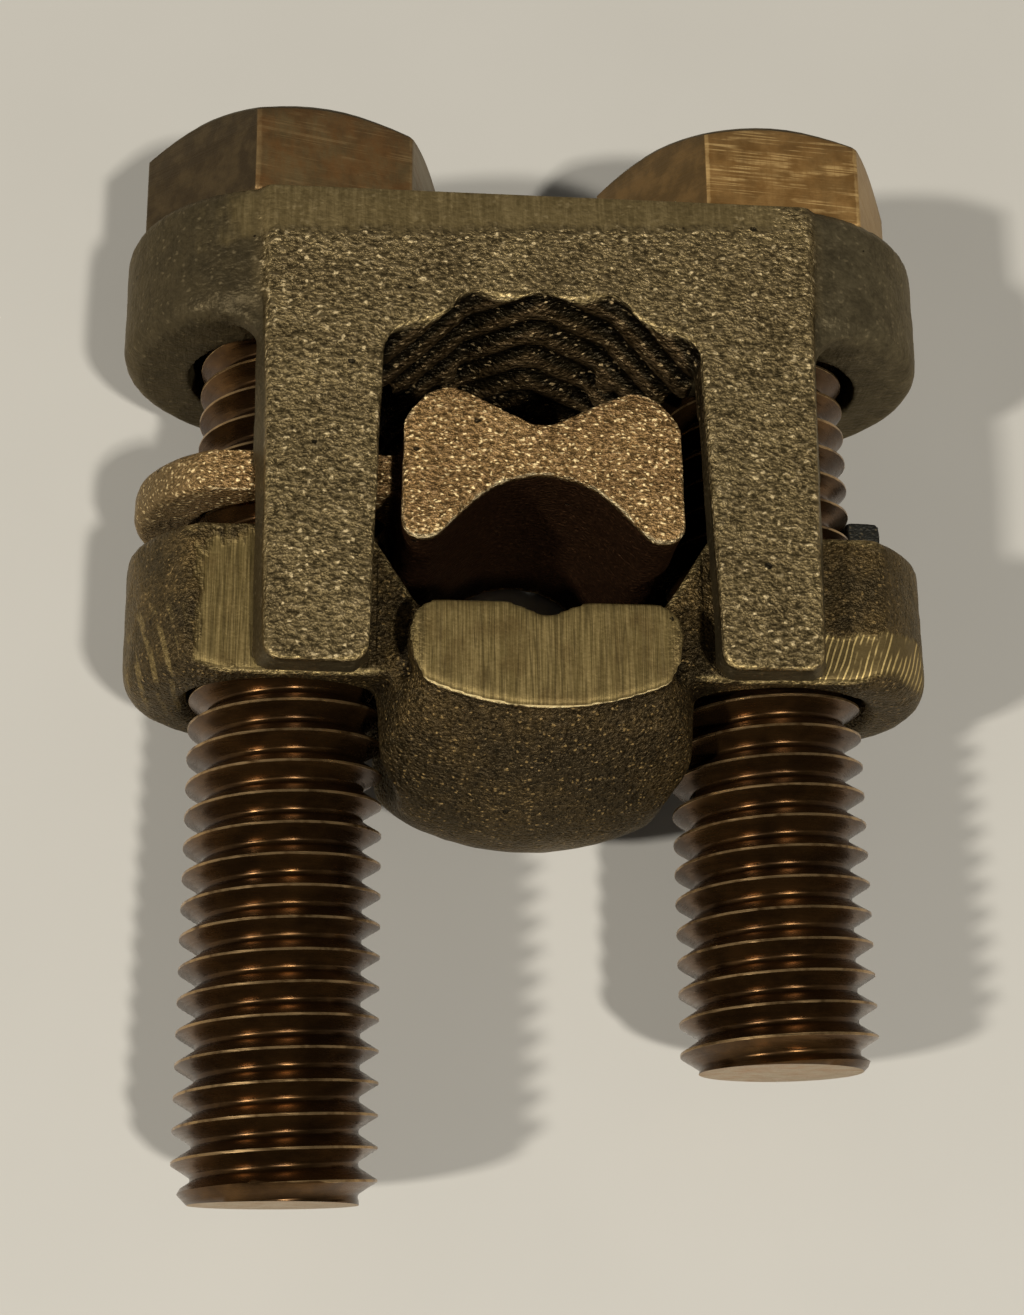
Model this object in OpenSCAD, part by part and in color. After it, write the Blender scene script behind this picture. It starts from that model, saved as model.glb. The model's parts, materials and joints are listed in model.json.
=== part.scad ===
// Two-bolt cable connector of cast bronze, in millimetres.
// It is drawn upright, bolts along Z and the bearing face of the heads at z = 0, and then laid
// on its back as it rests on a table: X from the left bolt to the right one, Y towards the
// heads, Z up through the front face. The origin is the middle of its footprint.

/* [Bolts] */
// Distance between the two bolt axes
bolt_spacing = 31.75; // [31:0.25:34]
// Outside diameter of the thread
bolt_d = 12.6; // [11:0.1:13]
// Distance between two crests of the thread
thread_pitch = 1.954; // [1.75:0.002:2.2]
// Depth of the thread
thread_depth = 1.15; // [0.8:0.05:1.2]
// Length of the left bolt under its head
left_bolt_len = 63.5; // [58:0.5:76]
// Length of the right bolt under its head
right_bolt_len = 55.5; // [52:0.5:76]
// Hexagon head, size across the flats
head_af = 18.6; // [17:0.1:20]
// Height of the hexagon head
head_h = 7.2; // [6:0.1:10]
// Angle at which the left head stands
left_head_turn = 15.7; // [0:0.1:60]
// Angle at which the right head stands
right_head_turn = 5.3; // [0:0.1:60]

/* [Cap] */
// Depth of the connector from its front face to its back face
body_depth = 24; // [23:0.1:26]
// Radius of the ears under the bolt heads
cap_ear_r = 11.6; // [10.5:0.1:11.8]
// Thickness of those ears
cap_ear_t = 9; // [8:0.1:9.5]
// Height of the cap from the bearing face to the ends of its legs
cap_h = 32.4; // [29:0.1:35]
// Width of the front face at the top
face_w = 35.5; // [34:0.1:37]
// Width of the front face at the ends of the legs
foot_w = 34.3; // [33.4:0.1:35.4]
// Distance between the legs under the roof
channel_w = 20; // [19.6:0.1:20.6]
// Distance between the legs at their ends
channel_foot_w = 21.6; // [21.2:0.1:22.2]
// Thickness of a leg from front to back
leg_t = 3; // [2.7:0.1:3.4]
// Widening of a leg from its outer face to its inner face
leg_draft = 0.9; // [0:0.1:1.2]
// Depth of the bevel at the top of the front face
bevel_in = 0.5; // [0.3:0.1:0.8]
// Height of that bevel
bevel_h = 3.7; // [2.5:0.1:5]
// Diameter of the bolt holes in the ears
cap_hole_d = 14.2; // [13.8:0.1:14.6]

/* [Gripping roof] */
// Distance from the bearing face to the flat of the roof
roof_z = 8; // [7.2:0.1:8.6]
// Width of that flat
roof_flat_w = 8.9; // [7:0.1:10]
// Drop of the sloping sides of the roof
roof_drop = 3.4; // [2.8:0.1:3.7]
// Distance between chevron teeth along the cable
tooth_pitch = 3.6; // [3:0.1:4.5]
// Depth of the notch between two teeth
tooth_depth = 0.65; // [0.4:0.05:0.9]
// Angle of the chevrons to the line across the connector
tooth_angle = 40; // [30:1:50]

/* [Spacer] */
// Distance from the bearing face to the middle of the spacer
spacer_z = 18.9; // [18.4:0.05:19.3]
// Length of the spacer from front to back
spacer_len = 22.4; // [21:0.1:22.8]
// Width of the spacer
spacer_w = 18; // [17.4:0.1:18.3]
// Height of the spacer over its lobes
spacer_h = 9.9; // [9.4:0.1:10.2]
// Thickness left at the waist
waist_t = 3.5; // [3:0.1:4]
// Thickness of the lugs that run on the bolts
lug_t = 2.9; // [2.4:0.1:3.2]
// Radius of the ring lug on the left bolt
ring_r = 10.4; // [9.5:0.1:10.7]
// Radius of the open hook lug on the right bolt
hook_r = 9.2; // [8.8:0.1:10]
// Diameter of the holes in the lugs
lug_hole_d = 13.6; // [13.4:0.1:13.8]

/* [Jaw] */
// Distance from the bearing face to the top of the jaw's ears
jaw_z = 22.3; // [22:0.1:23]
// Thickness of those ears
jaw_ear_t = 10; // [9.2:0.1:10.6]
// Radius of those ears
jaw_ear_r = 10.7; // [10:0.1:11.5]
// Width of the tongue between the legs
tongue_w = 16.8; // [16:0.1:17.4]
// Drop from the ears to the seat of the lower cable
seat_drop = 6; // [5.6:0.1:6.4]
// Depth of the notch along the seat
notch_d = 0.95; // [0.5:0.05:1.3]
// Height of the ground face at the end of the tongue
tongue_h = 6.8; // [6.2:0.1:7.4]
// Distance from the seat down to the lowest point of the belly
belly_h = 13.1; // [12.3:0.1:14.5]
// Sideways radius of the belly
belly_r = 18; // [16:0.5:22]

/* [Hidden] */
$fn = 64;

// Clearance of the jaw and of the spacer's lugs behind the legs
leg_clear = 0.3;
// Clearance of the thread in the tapped holes of the jaw
tap_clear = 0.1;
// Countersink under each tapped hole, wider than the bolt by
sink_wide = 1.8;
sink_h = 0.9;
// Radius at both corners of a leg's end, and of the cove under each ear of the cap
leg_round = 1.2;
cove_r = 3;
// Rounding of the top and the bottom rim of the cap's ears, the lugs and the jaw's ears
cap_rim = [1.1, 1.4];
lug_rim = [0.8, 0.8];
jaw_rim = [0.9, 2];
// How far the bridge and the trough reach into the ears, and shapes of one casting into each other
bridge_lap = 3;
trough_lap = 4;
lap = 0.3;
// First tooth behind the front face, and half the width of a notch as a share of the tooth pitch
first_tooth = 0.4;
notch_share = 0.42;

bolt_x = bolt_spacing / 2;
half_depth = body_depth / 2;
leg_y = half_depth - leg_t;
lug_half = leg_y - leg_clear;
roof_edge_z = roof_z + roof_drop;
seat_z = jaw_z + seat_drop;
jaw_low_z = jaw_z + jaw_ear_t;
tongue_low_z = seat_z + tongue_h;
belly_z = seat_z + belly_h;
rest_shift = (max(left_bolt_len, right_bolt_len) - head_h) / 2;
arc_steps = 7;
far = 100;

bronze = "#6f6142";
copper_bronze = "#94744c";
ground_bronze = "#85764f";
bolt_brown = "#5f3f27";

// Lays the upright connector on its back
module lie() translate([0, rest_shift, half_depth]) rotate([-90, 0, 0]) children();

// Bar along the depth whose section is drawn in X and Z
module along_depth(len) rotate([90, 0, 0]) linear_extrude(len, center = true) children();

function unit(v) = v / norm(v);
function xy(p) = [p[0], p[1]];

// Arc from p0 to p1 round c, the short way
function arc(c, p0, p1) =
    let (a0 = atan2(p0[1] - c[1], p0[0] - c[0]),
         a1 = atan2(p1[1] - c[1], p1[0] - c[0]),
         sweep = (a1 - a0 + 540) % 360 - 180,
         r = norm(p0 - c))
    [for (k = [0 : arc_steps]) c + r * [cos(a0 + sweep * k / arc_steps), sin(a0 + sweep * k / arc_steps)]];

// Corner p between two neighbours, rounded to radius r
function corner(before, p, after, r) =
    let (a = unit(before - p), b = unit(after - p), half = acos(a * b) / 2, run = r / tan(half))
    arc(p + unit(a + b) * r / sin(half), p + a * run, p + b * run);

// Closed outline through corners given as [x, y, radius]
function rounded(pts) =
    let (n = len(pts))
    [for (i = [0 : n - 1])
        each pts[i][2] == 0
            ? [xy(pts[i])]
            : corner(xy(pts[(i + n - 1) % n]), xy(pts[i]), xy(pts[(i + 1) % n]), pts[i][2])];

// The right half of a section, given from its top to its bottom, with its mirror image
function both_halves(right) =
    concat(right, [for (i = [len(right) - 1 : -1 : 0]) if (right[i][0] != 0)
        [-right[i][0], right[i][1], right[i][2]]]);

// Disc round a bolt axis with its top and bottom rims rounded, its top face at z = 0
module boss(r, t, rim)
    rotate_extrude() polygon(rounded([[0, 0, 0], [r, 0, rim[0]], [r, -t, rim[1]], [0, -t, 0]]));

module at_bolt(side) translate([side * bolt_x, 0, 0]) children();

// Bridge of the cap between the bolts: flat top, and the roof over the upper cable
module bridge() {
    half_w = channel_w / 2 + bridge_lap;
    along_depth(body_depth) polygon([
        [-half_w, 0], [half_w, 0],
        [half_w, -roof_edge_z], [channel_w / 2, -roof_edge_z],
        [roof_flat_w / 2, -roof_z], [-roof_flat_w / 2, -roof_z],
        [-channel_w / 2, -roof_edge_z], [-half_w, -roof_edge_z]]);
}

// Outline of a leg seen from the front, from the flat top to its end, left too wide on its outer side
module leg_outline() {
    spare = leg_draft + 1;
    polygon(rounded([
        [channel_w / 2 - lap, 0, 0], [face_w / 2 + spare, 0, 0],
        [foot_w / 2 + spare, -cap_h, 0], [channel_foot_w / 2, -cap_h, leg_round]]));
}

// Leg whose outer side is cut with a draft, so that it widens from the front face inwards, down to
// the round corner at its end
module leg() {
    lean = atan2((face_w - foot_w) / 2, cap_h);
    draft = atan2(leg_draft, leg_t);
    side_h = cap_h / cos(lean) + 2 * leg_round * tan(lean);
    difference() {
        translate([0, leg_t / 2 - half_depth, 0]) along_depth(leg_t) leg_outline();
        translate([face_w / 2, -half_depth, 0]) rotate([0, lean, 0]) rotate([0, 0, -draft]) {
            translate([0, -far / 2, -far]) cube([far, far, 2 * far]);
            translate([-leg_round, 0, leg_round - side_h]) along_depth(far)
                difference() {
                    translate([0, -far]) square(far);
                    circle(leg_round);
                }
        }
    }
}

// Cove between the outer side of a leg and the underside of the ear
module cove()
    intersection() {
        translate([face_w / 2, 0, -cap_ear_t]) along_depth(body_depth - 2 * lap)
            difference() {
                translate([-bridge_lap, -cove_r]) square([cove_r + bridge_lap, cove_r + 1]);
                translate([cove_r, -cove_r]) circle(cove_r);
            }
        at_bolt(1) translate([0, 0, -far / 2]) cylinder(r = cap_ear_r - lap, h = far);
        translate([0, -far - leg_y, -far / 2]) cube(far);
    }

// V-shaped bar that cuts one notch between two points of the roof
module notch(from, to, half_w) {
    d = to - from;
    mouth = half_w * (1 + lap / tooth_depth);
    translate(from) rotate([0, 90 - atan2(d[2], norm([d[0], d[1]])), atan2(d[1], d[0])])
        translate([0, 0, -lap]) linear_extrude(norm(d) + 2 * lap)
            polygon([[lap, -mouth], [lap, mouth], [-tooth_depth, 0]]);
}

// Chevron notches over the roof, their points towards the front
module chevrons() {
    reach = roof_flat_w / 2;
    rise = tan(tooth_angle);
    half_w = notch_share * tooth_pitch * cos(tooth_angle);
    edge = channel_w / 2;
    first = ceil((edge * rise) / tooth_pitch);
    for (k = [-first : floor(body_depth / tooth_pitch)], side = [-1, 1]) {
        y0 = k * tooth_pitch - half_depth + first_tooth;
        notch([0, y0, -roof_z], [side * reach, y0 + reach * rise, -roof_z], half_w);
        notch([side * reach, y0 + reach * rise, -roof_z], [side * edge, y0 + edge * rise, -roof_edge_z], half_w);
    }
}

// Cut that bevels the top of the front face
module bevel()
    translate([0, -half_depth, -bevel_h]) rotate([-atan2(bevel_in, bevel_h), 0, 0])
        translate([-far / 2, -far, 0]) cube([far, far, far]);

module cap()
    color(bronze) lie() difference() {
        union() {
            bridge();
            for (side = [0, 1], face = [0, 1]) mirror([side, 0, 0]) mirror([0, face, 0]) {
                leg();
                cove();
            }
            for (side = [-1, 1]) at_bolt(side) boss(cap_ear_r, cap_ear_t, cap_rim);
        }
        for (side = [-1, 1]) at_bolt(side) translate([0, 0, -far / 2]) cylinder(d = cap_hole_d, h = far);
        for (face = [0, 1]) mirror([0, face, 0]) bevel();
        chevrons();
    }

// Bow-tie section of the spacer: a shallow groove above, a wide arch below
module spacer_section() {
    top = spacer_h / 2;
    half_w = spacer_w / 2;
    arch = top - 2.2 - waist_t;
    polygon(rounded(both_halves([
        [0, top - 2.55, 2.6], [0.72 * half_w, top + 0.75, 2.4], [half_w - 0.1, top - 2, 2],
        [half_w, -top - 0.35, 1.3], [0.76 * half_w, -top - 0.2, 1.2], [0, arch + 2.8, 6.2]])));
}

// Lug round a bolt axis, as wide as the space between the legs lets it be, rooted clear of the arch
module lug(r) {
    root = bolt_x - spacer_w / 4;
    difference() {
        intersection() {
            union() {
                translate([0, 0, lug_t / 2]) boss(r, lug_t, lug_rim);
                translate([-root, -lug_half, -lug_t / 2]) cube([root, 2 * lug_half, lug_t]);
            }
            cube([far, 2 * lug_half, far], center = true);
        }
        cylinder(d = lug_hole_d, h = far, center = true);
    }
}

module spacer()
    color(copper_bronze) lie() translate([0, 0, -spacer_z]) {
        along_depth(spacer_len) spacer_section();
        mirror([1, 0, 0]) at_bolt(1) lug(ring_r);
        at_bolt(1) difference() {
            lug(hook_r);
            translate([-lug_hole_d / 2, -far, -far / 2]) cube([far, far + 1, far]);
        }
    }

// Section of the jaw between its ears, with the trough for the lower cable
module trough_section() {
    floor_z = seat_z - 0.45;
    side = channel_w / 2 + trough_lap;
    polygon(rounded(both_halves([
        [0, -seat_z - notch_d * 0.6, 2.5], [3, -floor_z, 2], [tongue_w / 2 - 0.9, -floor_z, 1.5],
        [channel_w / 2 + 1, -jaw_z, 0.8], [side, -jaw_z, 0], [side, -jaw_low_z, 0]])));
}

// Section of the tongue that reaches forward and back between the legs
module tongue_section()
    intersection() {
        polygon(rounded(both_halves([
            [0, -seat_z - notch_d, 0.8], [2.4, -seat_z, 1.6], [tongue_w / 2, -seat_z, 1.8],
            [tongue_w / 2, -seat_z - tongue_h * 0.5, 3], [tongue_w / 2 - 1.1, -tongue_low_z + 1.2, 1.6],
            [tongue_w / 4, -tongue_low_z, 6], [0, -tongue_low_z - 0.3, 0]])));
        translate([0, belly_r - tongue_low_z]) circle(belly_r, $fn = 128);
    }

// Depth of the belly's skin at its keel and its half width, at a share t of the way to an end
function keel(t) = tongue_low_z - 0.15 + (belly_z - tongue_low_z + 0.15) * pow(cos(90 * t), 0.8);
function belly_half(t) = tongue_w / 2 - 1.5 + 3.9 * pow(cos(90 * t), 0.6);
function belly_skin(x, t) = belly_r - sqrt(belly_r * belly_r - x * x) - keel(t);

// Boat-shaped belly under the seat, drawn as rings from the front to the back
module belly() {
    nu = 14;
    nv = 16;
    lid = 2.5 - tongue_low_z;
    ring = nu + 3;
    skin = [for (j = [0 : nv])
        let (t = 2 * j / nv - 1, y = t * (half_depth - 0.5), w = belly_half(t))
        each concat(
            [[-w, y, lid]],
            [for (i = [0 : nu]) let (x = w * (2 * i / nu - 1)) [x, y, belly_skin(x, t)]],
            [[w, y, lid]])];
    sides = [for (j = [0 : nv - 1], i = [0 : ring - 1])
        let (a = j * ring + i, b = j * ring + (i + 1) % ring)
        each [[a, b + ring, a + ring], [a, b, b + ring]]];
    polyhedron(skin, concat(
        [[for (i = [ring - 1 : -1 : 0]) i]],
        sides,
        [[for (i = [0 : ring - 1]) nv * ring + i]]));
}

module jaw()
    color(ground_bronze) lie() difference() {
        union() {
            along_depth(2 * lug_half) trough_section();
            along_depth(body_depth) tongue_section();
            belly();
            for (side = [0, 1]) mirror([side, 0, 0]) intersection() {
                at_bolt(1) translate([0, 0, -jaw_z]) boss(jaw_ear_r, jaw_ear_t, jaw_rim);
                translate([channel_w / 2 + trough_lap / 2, -lug_half, -far]) cube([far, 2 * lug_half, far]);
            }
        }
        for (side = [-1, 1]) at_bolt(side) tapped_hole();
    }

// Hole for a bolt through an ear of the jaw, with a countersink at its lower end
module tapped_hole() {
    hole_d = bolt_d + tap_clear;
    sink_d = bolt_d + sink_wide;
    translate([0, 0, -far]) cylinder(d = hole_d, h = far);
    translate([0, 0, -jaw_low_z - far]) cylinder(d = sink_d, h = far);
    translate([0, 0, -jaw_low_z - 0.01]) cylinder(d1 = sink_d, d2 = hole_d, h = sink_h);
}

// Section of a threaded shank, its crests drawn as rings that are counted up from the bolt's end
function shank_section(len) =
    let (r = bolt_d / 2,
         tip = 1.1,
         neck = 1.2,
         mouth = thread_pitch * 7 / 8,
         root = mouth - 2 * thread_depth * tan(30),
         rings = floor((len - tip - neck) / thread_pitch))
    concat(
        [[0, 0.1], [r, 0.1]],
        [for (k = [rings - 1 : -1 : 0])
            let (z = tip - len + (k + 0.5) * thread_pitch)
            each [[r, z + mouth / 2], [r - thread_depth, z + root / 2],
                  [r - thread_depth, z - root / 2], [r, z - mouth / 2]]],
        [[r, tip - len], [r - tip, -len], [0, -len]]);

// Hexagon bolt with its bearing face at z = 0, its corners chamfered above and a little below
module hex_bolt(len, turn) {
    flat_r = head_af / 2;
    past_corner = flat_r * 1.18;
    top_r = flat_r * 0.95;
    chamfer_h = flat_r * 0.13;
    base_r = flat_r * 1.12;
    base_h = 0.5;
    intersection() {
        rotate([0, 0, turn]) cylinder(d = head_af / cos(30), h = head_h, $fn = 6);
        rotate_extrude() polygon([
            [0, 0], [base_r, 0], [past_corner, base_h], [past_corner, head_h - chamfer_h],
            [top_r, head_h], [0, head_h]]);
    }
    rotate_extrude() polygon(shank_section(len));
}

module left_bolt() color(bolt_brown) lie() at_bolt(-1) hex_bolt(left_bolt_len, left_head_turn);

module right_bolt() color(bolt_brown) lie() at_bolt(1) hex_bolt(right_bolt_len, right_head_turn);

cap();
spacer();
jaw();
left_bolt();
right_bolt();
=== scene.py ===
"""Looks of a two-bolt mechanical connector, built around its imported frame.

Everything is in metres, in the row frame: +X from the longer bolt to the shorter one, +Y along the
bolts towards their heads, +Z up through the front face. Sizes that are only looks are named below in
millimetres, and the pieces stand where the frame has them.
"""

import json
import math

import bmesh
import bpy
import numpy as np
from mathutils import Matrix, Vector, noise


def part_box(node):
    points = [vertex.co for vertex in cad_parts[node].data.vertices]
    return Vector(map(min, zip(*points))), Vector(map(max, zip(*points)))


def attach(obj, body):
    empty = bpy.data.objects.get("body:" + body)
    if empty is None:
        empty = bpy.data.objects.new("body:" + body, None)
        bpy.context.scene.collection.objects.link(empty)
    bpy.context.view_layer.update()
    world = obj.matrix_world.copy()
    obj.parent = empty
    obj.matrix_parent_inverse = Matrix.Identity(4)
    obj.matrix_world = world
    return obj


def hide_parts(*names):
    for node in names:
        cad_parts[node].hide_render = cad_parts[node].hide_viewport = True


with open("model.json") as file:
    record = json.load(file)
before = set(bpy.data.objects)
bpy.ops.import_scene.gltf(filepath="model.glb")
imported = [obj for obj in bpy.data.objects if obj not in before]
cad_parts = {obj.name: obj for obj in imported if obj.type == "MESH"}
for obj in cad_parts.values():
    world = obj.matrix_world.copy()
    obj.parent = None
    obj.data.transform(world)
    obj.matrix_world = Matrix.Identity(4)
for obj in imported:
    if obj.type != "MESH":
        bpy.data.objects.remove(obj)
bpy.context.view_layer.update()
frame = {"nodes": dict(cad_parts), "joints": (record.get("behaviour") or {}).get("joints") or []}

MM = 0.001

# Places taken from the frame
JOINTS = {joint["name"]: joint for joint in frame["joints"]}
_, CAP_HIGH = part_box("cap")
BEARING_Y = CAP_HIGH.y
FRONT_Z = CAP_HIGH.z

# Camera: place and target in the row frame, lens for a 36 mm long side
CAMERA_PLACE = Vector((-14.35, -41.56, 143.53)) * MM
CAMERA_TARGET = Vector((-1.01, -0.1, 12.0)) * MM
CAMERA_ROLL = math.radians(-0.48)
CAMERA_LENS = 57.0
CAMERA_NEAR = 0.01

# Light and table, in metres and watts
LIGHT_COLOUR = (1.0, 0.985, 0.95)
LAMP_SIZE = 0.06
HORIZON_LIGHT = 0.36
OVERHEAD_LIGHT = 0.05
TABLE_SIZE = 1.2

# Castings: the size and depth of the skin's lumps, and how far the skin lies under the true faces,
# so that the lumps stay inside them
LUMP_SIZES = (1.1, 4.5)
LUMP_DEPTHS = (0.045, 0.07)
CAST_SHRINK = 0.08
WELD_DISTANCE = 0.001
SOFTEN_SHARE = 0.5
MELT_ROUNDS = 24
EDGE_REACH = 4
EDGE_BLUR = 2
EDGE_GAIN = 4.0

# How near to a flat face of a casting a point has to be to lie on it
BACK_MARGIN = 0.3
CAP_TOP_MARGIN = 0.2
TONGUE_MARGIN = 0.25

# Bolts: half inch, thirteen threads to the inch
THREAD_PITCH = 25.4 / 13
THREAD_RADIUS = 6.3
THREAD_DEPTH = 1.18
THREAD_SEGMENTS = 72
SPARE_TURNS = 3
CORE_RADIUS = 1.0
NECK_LENGTH = 1.2
END_RADIUS = 5.25
HEAD_ACROSS_FLATS = 18.6
HEAD_CORNER_RADIUS = 0.35
HEAD_EDGE = 0.22
HEAD_EDGE_SHARE = 0.025
HEAD_EDGE_LIFT = 0.35
CHAMFER_CIRCLE = 0.97
CHAMFER_SLOPE = math.tan(math.radians(30))
SHARP_ANGLE = math.radians(50)
SAME_HEIGHT = 1e-4

# One turn of thread as (share of the pitch, share of the depth below the crest)
THREAD_PROFILE = (
    (0.0, 0.07),
    (0.025, 0.0),
    (0.1, 0.0),
    (0.125, 0.07),
    (0.29, 0.52),
    (0.46, 0.95),
    (0.52, 1.0),
    (0.6, 1.0),
    (0.66, 0.95),
    (0.83, 0.52),
)

# The edge_turn of a bolt's points: 0.5 on a flat, towards 1 on an outer edge and 0 in a hollow
CREST_TURN = 0.86
CREST_DEPTH = 0.03
FLANK_TURN = 0.6
FLANK_FALL = 0.27
HEAD_FLAT_TURN = 0.5
HEAD_EDGE_TURN = 0.85


def srgb(red, green, blue):
    """A colour given from 0 to 255, as the linear colour that a shader takes."""
    linear = []
    for value in (red, green, blue):
        share = value / 255
        linear.append(share / 12.92 if share <= 0.04045 else ((share + 0.055) / 1.055) ** 2.4)
    return (*linear, 1.0)


# Node helpers

def add_node(tree, kind, inputs=None, **settings):
    """A shader node with its settings, its plain values and its links in one call."""
    made = tree.nodes.new("ShaderNode" + kind)
    for name, value in settings.items():
        setattr(made, name, value)
    for name, value in (inputs or {}).items():
        if isinstance(value, bpy.types.NodeSocket):
            tree.links.new(value, made.inputs[name])
        else:
            made.inputs[name].default_value = value
    return made


def calc(tree, operation, first, second=0.0):
    """The result of one step of arithmetic."""
    return add_node(tree, "Math", {0: first, 1: second}, operation=operation).outputs[0]


def times(tree, first, second):
    """The product of two values."""
    return calc(tree, "MULTIPLY", first, second)


def larger(tree, first, second):
    """The larger of two values."""
    return calc(tree, "MAXIMUM", first, second)


def rest_of(tree, share):
    """What is left of 1 without a share."""
    return calc(tree, "SUBTRACT", 1.0, share)


def rise(tree, value, low, high, bottom=0.0, top=1.0):
    """A soft step up: bottom where value is under low, top where it is over high."""
    inputs = {"Value": value, 1: low, 2: high, 3: bottom, 4: top}
    return add_node(tree, "MapRange", inputs, interpolation_type="SMOOTHSTEP").outputs[0]


def fall(tree, value, low, high):
    """A soft step down: 1 where value is under low, 0 where it is over high."""
    return rise(tree, value, low, high, 1.0, 0.0)


def blend_colours(tree, share, first, second):
    """The first colour turning into the second as share goes from 0 to 1."""
    return add_node(tree, "Mix", {0: share, 6: first, 7: second}, data_type="RGBA").outputs[2]


def vector_calc(tree, operation, first, second):
    """The result of one step of arithmetic on vectors."""
    return add_node(tree, "VectorMath", {0: first, 1: second}, operation=operation).outputs[0]


def scaled(tree, vector, factor):
    """A vector made longer by a factor."""
    return add_node(tree, "VectorMath", {0: vector, "Scale": factor}, operation="SCALE").outputs[0]


def parts_of(tree, vector):
    """The three parts of a vector."""
    return add_node(tree, "SeparateXYZ", {0: vector}).outputs


def place_in_mm(tree):
    """The place on the object, in millimetres of the row frame."""
    return scaled(tree, add_node(tree, "TexCoord").outputs["Object"], 1 / MM)


def facing(tree):
    """Which way the surface faces on the object, in three parts."""
    return parts_of(tree, add_node(tree, "TexCoord").outputs["Normal"])


def edge_turn(tree):
    """The mesh's own note of its edges and hollows."""
    return add_node(tree, "Attribute", attribute_name="edge_turn").outputs["Fac"]


def noise_at(tree, place, scale, detail, roughness=0.5):
    """The value and the colour of noise with about scale lumps to each unit of place."""
    inputs = {"Vector": place, "Scale": scale, "Detail": detail, "Roughness": roughness}
    return add_node(tree, "TexNoise", inputs).outputs


def cloud(tree, place, size, detail=3.0, roughness=0.55, stretch=(1, 1, 1)):
    """Noise from 0 to 1 whose lumps are about size millimetres, longer along an axis with a big stretch."""
    return noise_at(tree, vector_calc(tree, "DIVIDE", place, stretch), 1 / size, detail, roughness)[0]


def set_bump(tree, shader, height, strength, depth):
    """The relief of a finish, depth millimetres deep."""
    bump = add_node(tree, "Bump", {"Height": height, "Strength": strength, "Distance": depth * MM})
    tree.links.new(bump.outputs[0], shader["Normal"])


def new_group(name, inputs, outputs):
    """An empty shader node group with named sockets: the tree, its inputs and its outputs."""
    tree = bpy.data.node_groups.new(name, "ShaderNodeTree")
    kinds = {float: "NodeSocketFloat", tuple: "NodeSocketColor", Vector: "NodeSocketVector"}
    for socket_name, value in inputs.items():
        kind = kinds[type(value)]
        tree.interface.new_socket(socket_name, in_out="INPUT", socket_type=kind).default_value = value
    for socket_name, kind in outputs.items():
        tree.interface.new_socket(socket_name, in_out="OUTPUT", socket_type=kinds[kind])
    return tree, tree.nodes.new("NodeGroupInput").outputs, tree.nodes.new("NodeGroupOutput").inputs


def use_group(tree, group, **values):
    """A group placed in a material. A name's underscores stand for the socket's spaces."""
    made = tree.nodes.new("ShaderNodeGroup")
    made.node_tree = group
    for name, value in values.items():
        socket = made.inputs[name.replace("_", " ")]
        if isinstance(value, bpy.types.NodeSocket):
            tree.links.new(value, socket)
        else:
            socket.default_value = value
    return made.outputs


def new_material(name, metallic, plain):
    """A material with a Principled shader and its plain values: its tree and the shader's inputs."""
    material = bpy.data.materials.new(name)
    material.use_nodes = True
    tree = material.node_tree
    tree.nodes.clear()
    shader = add_node(tree, "BsdfPrincipled", {"Metallic": metallic, **plain})
    add_node(tree, "OutputMaterial", {"Surface": shader.outputs[0]})
    return material, tree, shader.inputs


# Effects shared by the finishes

def grain_glints(tree, laid, grain, share):
    """Painted glints: bright dots on the ridges of a share of the grains."""
    facet = add_node(tree, "TexVoronoi", {"Vector": laid, "Scale": 0.9})
    luck = add_node(tree, "SeparateColor", {0: facet.outputs["Color"]}).outputs[0]
    shining = rise(tree, calc(tree, "ADD", luck, share), 1.0, 1.05)
    off_ridge = times(tree, calc(tree, "SUBTRACT", 0.55, grain), 1.6)
    core = fall(tree, calc(tree, "ADD", facet.outputs["Distance"], off_ridge), 0.16, 0.46)
    return times(tree, shining, core)


def grain_pits(tree, place, grain):
    """Black pits of mixed size, a few millimetres apart, with ragged edges."""
    cell = add_node(tree, "TexVoronoi", {"Vector": place, "Scale": 0.5})
    spread = add_node(tree, "SeparateColor", {0: cell.outputs["Color"]}).outputs[0]
    size = times(tree, rise(tree, spread, 0.5, 1.0), 0.13)
    ragged = calc(tree, "ADD", cell.outputs["Distance"], times(tree, grain, 0.2))
    return fall(tree, calc(tree, "SUBTRACT", ragged, size), 0.06, 0.1)


def make_cast_grain():
    """Sand-cast skin: the height of short ridges, their tops, the valleys, painted glints and black pits.

    Glints is the share of the grains that carry a painted glint.
    """
    inputs = {"Size": 0.3, "Length": 1.35, "Glints": 0.2}
    outputs = {"Height": float, "Top": float, "Valley": float, "Glint": float, "Pit": float}
    tree, given, result = new_group("cast_grain", inputs, outputs)
    place = place_in_mm(tree)
    shrunk = scaled(tree, place, calc(tree, "DIVIDE", 1.0, given["Size"]))
    bent = noise_at(tree, shrunk, 0.4, 0.0)[1]
    swayed = vector_calc(tree, "ADD", shrunk, bent)
    along = add_node(tree, "CombineXYZ", {0: given["Length"], 1: 1.0, 2: 1.0}).outputs[0]
    laid = vector_calc(tree, "DIVIDE", swayed, along)
    worms = noise_at(tree, laid, 1.0, 1.0)[0]
    sand = noise_at(tree, shrunk, 2.1, 1.0)[0]
    grain = calc(tree, "ADD", times(tree, worms, 0.75), times(tree, sand, 0.25))
    lumps = cloud(tree, place, 1.5, 2.0)
    tree.links.new(calc(tree, "ADD", grain, times(tree, lumps, 0.5)), result["Height"])
    tree.links.new(rise(tree, grain, 0.52, 0.66), result["Top"])
    tree.links.new(fall(tree, grain, 0.36, 0.5), result["Valley"])
    tree.links.new(grain_glints(tree, laid, grain, given["Glints"]), result["Glint"])
    tree.links.new(grain_pits(tree, place, grain), result["Pit"])
    return tree


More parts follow.
